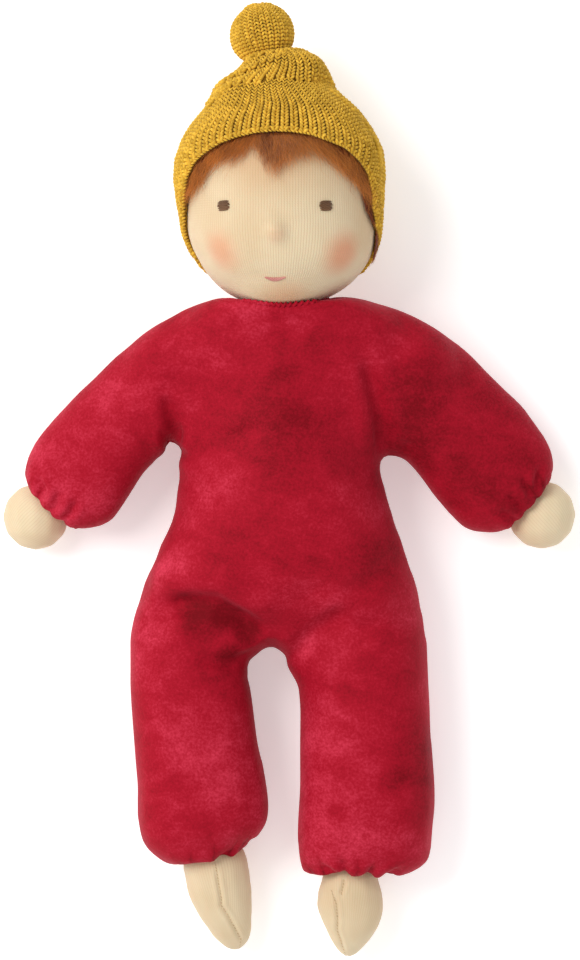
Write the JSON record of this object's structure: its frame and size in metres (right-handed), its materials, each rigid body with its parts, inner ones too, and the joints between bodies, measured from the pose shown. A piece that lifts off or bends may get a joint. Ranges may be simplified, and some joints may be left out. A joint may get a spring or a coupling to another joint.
{
  "type": "waldorf doll",
  "caption": "Soft cloth doll lying on its back: red velour suit filled with wool, jersey head, hands and feet, short auburn mohair hair, mustard ribbed cap with a bobble.",
  "frame": {"origin": "point on the surface that the doll lies on, under the middle of its back", "axes": "+Y from the feet to the head, +Z out of the face and chest, +X to the doll's own left"},
  "size_m": [0.2193, 0.3641, 0.0772],
  "materials": {
    "velour": "crushed cotton velour, short nap",
    "jersey": "fine cotton jersey",
    "gauze": "tubular cotton gauze",
    "wool": "carded sheep wool",
    "mohair": "brushed mohair",
    "knit": "ribbed wool knit",
    "thread": "waxed cotton thread",
    "eye_thread": "satin-stitched cotton",
    "mouth_thread": "satin-stitched cotton"
  },
  "bodies": {
    "torso": {"torso_front_panel": "velour", "torso_back_panel": "velour", "torso_stuffing": "wool"},
    "neck": {"neckline": "velour", "neck_wad": "wool"},
    "head": {"head_core": "wool", "head_tube": "gauze", "nose_nub": "wool", "head_skin": "jersey", "neck_tie": "thread", "left_eye": "eye_thread", "right_eye": "eye_thread", "mouth": "mouth_thread", "wig": "mohair"},
    "hat": {"cap": "knit"},
    "bobble": {"bobble_cover": "knit", "bobble_stuffing": "wool", "bobble_tie": "thread"},
    "left_shoulder": {"left_shoulder_wad": "wool"},
    "left_arm": {"left_sleeve_front": "velour", "left_sleeve_back": "velour", "left_arm_stuffing": "wool"},
    "left_hand": {"left_hand_skin": "jersey", "left_hand_stuffing": "wool", "left_wrist_tie": "thread"},
    "left_leg": {"left_trouser_front": "velour", "left_trouser_back": "velour", "left_leg_stuffing": "wool"},
    "left_foot": {"left_foot_skin": "jersey", "left_foot_stuffing": "wool", "left_ankle_tie": "thread"},
    "right_shoulder": {"right_shoulder_wad": "wool"},
    "right_arm": {"right_sleeve_front": "velour", "right_sleeve_back": "velour", "right_arm_stuffing": "wool"},
    "right_hand": {"right_hand_skin": "jersey", "right_hand_stuffing": "wool", "right_wrist_tie": "thread"},
    "right_leg": {"right_trouser_front": "velour", "right_trouser_back": "velour", "right_leg_stuffing": "wool"},
    "right_foot": {"right_foot_skin": "jersey", "right_foot_stuffing": "wool", "right_ankle_tie": "thread"}
  },
  "joints": [
    {"name": "neck_nod", "type": "hinge", "parent": "torso", "child": "neck", "pos_m": [0, 0.061, 0.0408], "axis": [1, 0, 0], "range_deg": [-12, 15], "stiffness_Nm_per_rad": 0.08},
    {"name": "head_turn", "type": "hinge", "parent": "neck", "child": "head", "pos_m": [0, 0.061, 0.0408], "axis": [0, 1, 0], "range_deg": [-45, 45], "stiffness_Nm_per_rad": 0.03},
    {"name": "hat_lift", "type": "slide", "parent": "head", "child": "hat", "axis": [0, 1, 0], "range_m": [0, 0.1]},
    {"name": "bobble_flop", "type": "hinge", "parent": "hat", "child": "bobble", "pos_m": [-0.007, 0.1698, 0.0375], "axis": [0, 0, 1], "range_deg": [-30, 30], "stiffness_Nm_per_rad": 0.003},
    {"name": "left_arm_raise", "type": "hinge", "parent": "torso", "child": "left_shoulder", "pos_m": [0.044, 0.036, 0.027], "axis": [0, 0, 1], "range_deg": [-10, 40], "stiffness_Nm_per_rad": 0.03},
    {"name": "left_arm_swing", "type": "hinge", "parent": "left_shoulder", "child": "left_arm", "pos_m": [0.044, 0.036, 0.027], "axis": [-0.6579, -0.7531, 0], "range_deg": [-30, 40], "stiffness_Nm_per_rad": 0.03},
    {"name": "left_hand_roll", "type": "hinge", "parent": "left_arm", "child": "left_hand", "pos_m": [0.1002, -0.0131, 0.0125], "axis": [0, 0, 1], "range_deg": [-20, 20], "stiffness_Nm_per_rad": 0.004},
    {"name": "left_hip_bend", "type": "hinge", "parent": "torso", "child": "left_leg", "pos_m": [0.0305, -0.057, 0.0395], "axis": [-1, 0, 0], "range_deg": [0, 90], "stiffness_Nm_per_rad": 0.03},
    {"name": "left_foot_flex", "type": "hinge", "parent": "left_leg", "child": "left_foot", "pos_m": [0.0262, -0.1525, 0.01705], "axis": [-1, 0, 0], "range_deg": [-15, 40], "stiffness_Nm_per_rad": 0.005},
    {"name": "right_arm_raise", "type": "hinge", "parent": "torso", "child": "right_shoulder", "pos_m": [-0.043, 0.036, 0.027], "axis": [0, 0, -1], "range_deg": [-10, 40], "stiffness_Nm_per_rad": 0.03},
    {"name": "right_arm_swing", "type": "hinge", "parent": "right_shoulder", "child": "right_arm", "pos_m": [-0.043, 0.036, 0.027], "axis": [-0.7029, 0.7113, 0], "range_deg": [-30, 40], "stiffness_Nm_per_rad": 0.03},
    {"name": "right_hand_roll", "type": "hinge", "parent": "right_arm", "child": "right_hand", "pos_m": [-0.0935, -0.0139, 0.0121], "axis": [0, 0, 1], "range_deg": [-20, 20], "stiffness_Nm_per_rad": 0.004},
    {"name": "right_hip_bend", "type": "hinge", "parent": "torso", "child": "right_leg", "pos_m": [-0.0345, -0.057, 0.0395], "axis": [-1, 0, 0], "range_deg": [0, 90], "stiffness_Nm_per_rad": 0.03},
    {"name": "right_foot_flex", "type": "hinge", "parent": "right_leg", "child": "right_foot", "pos_m": [-0.0244, -0.1465, 0.01705], "axis": [-1, 0, 0], "range_deg": [-15, 40], "stiffness_Nm_per_rad": 0.005}
  ]
}
